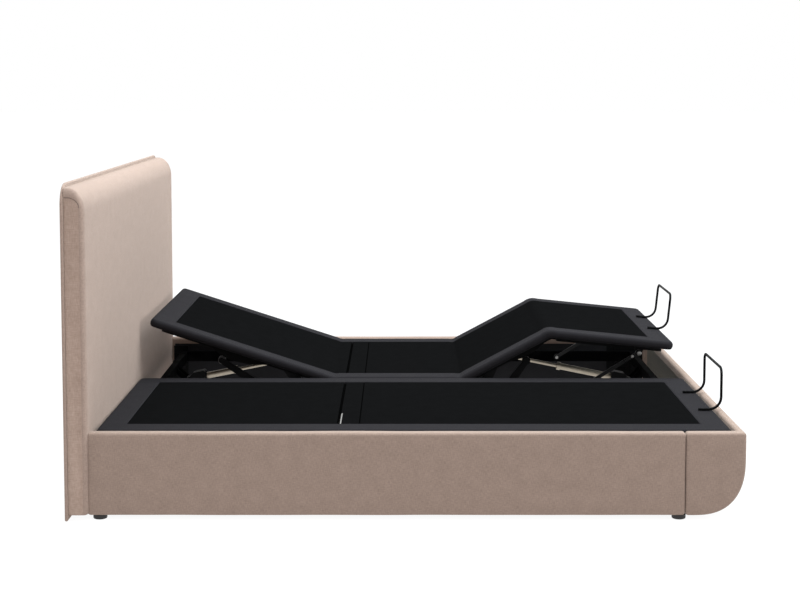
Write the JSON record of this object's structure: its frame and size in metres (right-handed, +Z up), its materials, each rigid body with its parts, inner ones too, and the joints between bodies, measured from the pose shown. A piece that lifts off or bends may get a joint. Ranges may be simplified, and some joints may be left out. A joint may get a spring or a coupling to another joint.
{
  "type": "adjustable bed base",
  "caption": "Upholstered bed surround with a padded headboard and two side-by-side adjustable decks whose back, thigh and foot boards are raised by linear actuators",
  "frame": {"origin": "on the floor under the middle of the bed's outline", "axes": "+X to the foot end, -X to the headboard, +Y to the far side, +Z up"},
  "size_m": [2.112, 1.94, 1.048],
  "materials": {
    "beige_fabric": "woven, matt",
    "deck_fabric": "knitted mesh, matt",
    "black_steel": "satin powder coat",
    "zinc_steel": "satin",
    "nylon": "matt",
    "black_plastic": "matt"
  },
  "bodies": {
    "bed": {"headboard_back_panel": "beige_fabric", "headboard_pad": "beige_fabric", "near_side_rail": "beige_fabric", "far_side_rail": "beige_fabric", "footboard_front": "beige_fabric", "near_footboard_side": "beige_fabric", "far_footboard_side": "beige_fabric", "near_head_foot": "black_plastic", "near_foot_foot": "black_plastic", "far_head_foot": "black_plastic", "far_foot_foot": "black_plastic", "centre_beam": "black_steel", "near_head_bracket": "black_steel", "near_foot_bracket": "black_steel", "far_head_bracket": "black_steel", "far_foot_bracket": "black_steel", "control_box": "black_plastic", "near_base_frame": "black_steel", "near_seat_board": "deck_fabric", "far_base_frame": "black_steel", "far_seat_board": "deck_fabric"},
    "near_back": {"near_back_board": "deck_fabric", "near_back_frame": "black_steel"},
    "near_thigh": {"near_thigh_board": "deck_fabric", "near_thigh_frame": "black_steel"},
    "near_foot": {"near_foot_board": "deck_fabric", "near_foot_frame": "black_steel", "near_retainer_bar": "black_steel"},
    "near_head_lift": {"near_head_lift_shaft": "black_steel"},
    "near_head_roller_inner": {"near_head_roller_inner": "nylon"},
    "near_head_roller_outer": {"near_head_roller_outer": "nylon"},
    "near_head_motor": {"near_head_motor": "black_steel", "near_head_motor_tube": "zinc_steel"},
    "near_head_rod": {"near_head_push_rod": "zinc_steel"},
    "near_leg_lift": {"near_leg_lift_shaft": "black_steel"},
    "near_leg_motor": {"near_leg_motor": "black_steel", "near_leg_motor_tube": "zinc_steel"},
    "near_leg_rod": {"near_leg_push_rod": "zinc_steel"},
    "near_foot_links": {"near_foot_link_inner": "black_steel", "near_foot_link_outer": "black_steel"},
    "far_back": {"far_back_board": "deck_fabric", "far_back_frame": "black_steel"},
    "far_thigh": {"far_thigh_board": "deck_fabric", "far_thigh_frame": "black_steel"},
    "far_foot": {"far_foot_board": "deck_fabric", "far_foot_frame": "black_steel", "far_retainer_bar": "black_steel"},
    "far_head_lift": {"far_head_lift_shaft": "black_steel"},
    "far_head_roller_inner": {"far_head_roller_inner": "nylon"},
    "far_head_roller_outer": {"far_head_roller_outer": "nylon"},
    "far_head_motor": {"far_head_motor": "black_steel", "far_head_motor_tube": "zinc_steel"},
    "far_head_rod": {"far_head_push_rod": "zinc_steel"},
    "far_leg_lift": {"far_leg_lift_shaft": "black_steel"},
    "far_leg_motor": {"far_leg_motor": "black_steel", "far_leg_motor_tube": "zinc_steel"},
    "far_leg_rod": {"far_leg_push_rod": "zinc_steel"},
    "far_foot_links": {"far_foot_link_inner": "black_steel", "far_foot_link_outer": "black_steel"}
  },
  "joints": [
    {"name": "near_back_hinge", "type": "hinge", "parent": "bed", "child": "near_back", "pos_m": [-0.264, -0.454, 0.257], "axis": [0, 1, 0], "range_deg": [0, 60]},
    {"name": "near_thigh_hinge", "type": "hinge", "parent": "bed", "child": "near_thigh", "pos_m": [0.208, -0.454, 0.257], "axis": [0, -1, 0], "range_deg": [0, 45]},
    {"name": "near_knee_hinge", "type": "hinge", "parent": "near_thigh", "child": "near_foot", "pos_m": [0.571, -0.454, 0.239], "axis": [0, 1, 0], "range_deg": [0, 54.2]},
    {"name": "near_head_lift_turn", "type": "hinge", "parent": "bed", "child": "near_head_lift", "pos_m": [-0.432, -0.454, 0.153], "axis": [0, 1, 0], "range_deg": [0, 78.99]},
    {"name": "near_head_roller_inner_spin", "type": "hinge", "parent": "near_head_lift", "child": "near_head_roller_inner", "pos_m": [-0.72839, -0.454, 0.2055], "axis": [0, 1, 0], "continuous": true},
    {"name": "near_head_roller_outer_spin", "type": "hinge", "parent": "near_head_lift", "child": "near_head_roller_outer", "pos_m": [-0.72839, -0.454, 0.2055], "axis": [0, 1, 0], "continuous": true},
    {"name": "near_head_motor_pivot", "type": "hinge", "parent": "bed", "child": "near_head_motor", "pos_m": [-0.872, -0.574, 0.159], "axis": [0, -1, 0], "range_deg": [0, 3.98]},
    {"name": "near_head_rod_slide", "type": "slide", "parent": "near_head_motor", "child": "near_head_rod", "axis": [0.9842, 0, 0.1771], "range_m": [0, 0.14292]},
    {"name": "near_leg_lift_turn", "type": "hinge", "parent": "bed", "child": "near_leg_lift", "pos_m": [0.328, -0.454, 0.148], "axis": [0, -1, 0], "range_deg": [0, 60.67]},
    {"name": "near_leg_motor_pivot", "type": "hinge", "parent": "bed", "child": "near_leg_motor", "pos_m": [0.908, -0.574, 0.155], "axis": [0, 1, 0], "range_deg": [0, 6.23]},
    {"name": "near_leg_rod_slide", "type": "slide", "parent": "near_leg_motor", "child": "near_leg_rod", "axis": [-0.9911, 0, 0.1328], "range_m": [0, 0.12616]},
    {"name": "near_foot_link_turn", "type": "hinge", "parent": "bed", "child": "near_foot_links", "pos_m": [0.638, -0.454, 0.2065], "axis": [0, -1, 0], "range_deg": [0, 50.42]},
    {"name": "far_back_hinge", "type": "hinge", "parent": "bed", "child": "far_back", "pos_m": [-0.264, 0.454, 0.257], "axis": [0, 1, 0], "range_deg": [-18, 42]},
    {"name": "far_thigh_hinge", "type": "hinge", "parent": "bed", "child": "far_thigh", "pos_m": [0.208, 0.454, 0.257], "axis": [0, -1, 0], "range_deg": [-28.1, 16.9]},
    {"name": "far_knee_hinge", "type": "hinge", "parent": "far_thigh", "child": "far_foot", "pos_m": [0.53669, 0.454, 0.4121], "axis": [0, 1, 0], "range_deg": [-33.85, 20.37]},
    {"name": "far_head_lift_turn", "type": "hinge", "parent": "bed", "child": "far_head_lift", "pos_m": [-0.432, 0.454, 0.153], "axis": [0, 1, 0], "range_deg": [-23.71, 55.3]},
    {"name": "far_head_roller_inner_spin", "type": "hinge", "parent": "far_head_lift", "child": "far_head_roller_inner", "pos_m": [-0.68231, 0.454, 0.32016], "axis": [0, 1, 0], "continuous": true},
    {"name": "far_head_roller_outer_spin", "type": "hinge", "parent": "far_head_lift", "child": "far_head_roller_outer", "pos_m": [-0.68231, 0.454, 0.32016], "axis": [0, 1, 0], "continuous": true},
    {"name": "far_head_motor_pivot", "type": "hinge", "parent": "bed", "child": "far_head_motor", "pos_m": [-0.872, 0.574, 0.159], "axis": [0, -1, 0], "range_deg": [-1.21, 2.79]},
    {"name": "far_head_rod_slide", "type": "slide", "parent": "far_head_motor", "child": "far_head_rod", "axis": [0.9803, 0, 0.1975], "range_m": [-0.04323, 0.10019]},
    {"name": "far_leg_lift_turn", "type": "hinge", "parent": "bed", "child": "far_leg_lift", "pos_m": [0.328, 0.454, 0.148], "axis": [0, -1, 0], "range_deg": [-37.9, 22.8]},
    {"name": "far_leg_motor_pivot", "type": "hinge", "parent": "bed", "child": "far_leg_motor", "pos_m": [0.908, 0.574, 0.155], "axis": [0, 1, 0], "range_deg": [-3.9, 2.35]},
    {"name": "far_leg_rod_slide", "type": "slide", "parent": "far_leg_motor", "child": "far_leg_rod", "axis": [-0.9799, 0, 0.1995], "range_m": [-0.07897, 0.04769]},
    {"name": "far_foot_link_turn", "type": "hinge", "parent": "bed", "child": "far_foot_links", "pos_m": [0.638, 0.454, 0.2065], "axis": [0, -1, 0], "range_deg": [-31.49, 18.95]}
  ],
  "couplings": [
    {"joint": "near_knee_hinge", "follows": "near_thigh_hinge", "ratio": 1.204},
    {"joint": "near_head_lift_turn", "follows": "near_back_hinge", "ratio": 1.3162},
    {"joint": "near_head_motor_pivot", "follows": "near_back_hinge", "ratio": 0.066},
    {"joint": "near_head_rod_slide", "follows": "near_back_hinge", "m_per_rad": 0.136},
    {"joint": "near_leg_lift_turn", "follows": "near_thigh_hinge", "ratio": 1.3479},
    {"joint": "near_leg_motor_pivot", "follows": "near_thigh_hinge", "ratio": 0.138},
    {"joint": "near_leg_rod_slide", "follows": "near_thigh_hinge", "m_per_rad": 0.16},
    {"joint": "near_foot_link_turn", "follows": "near_thigh_hinge", "ratio": 1.12},
    {"joint": "far_knee_hinge", "follows": "far_thigh_hinge", "ratio": 1.204},
    {"joint": "far_head_lift_turn", "follows": "far_back_hinge", "ratio": 1.3162},
    {"joint": "far_head_motor_pivot", "follows": "far_back_hinge", "ratio": 0.066},
    {"joint": "far_head_rod_slide", "follows": "far_back_hinge", "m_per_rad": 0.136},
    {"joint": "far_leg_lift_turn", "follows": "far_thigh_hinge", "ratio": 1.3479},
    {"joint": "far_leg_motor_pivot", "follows": "far_thigh_hinge", "ratio": 0.138},
    {"joint": "far_leg_rod_slide", "follows": "far_thigh_hinge", "m_per_rad": 0.16},
    {"joint": "far_foot_link_turn", "follows": "far_thigh_hinge", "ratio": 1.12}
  ]
}
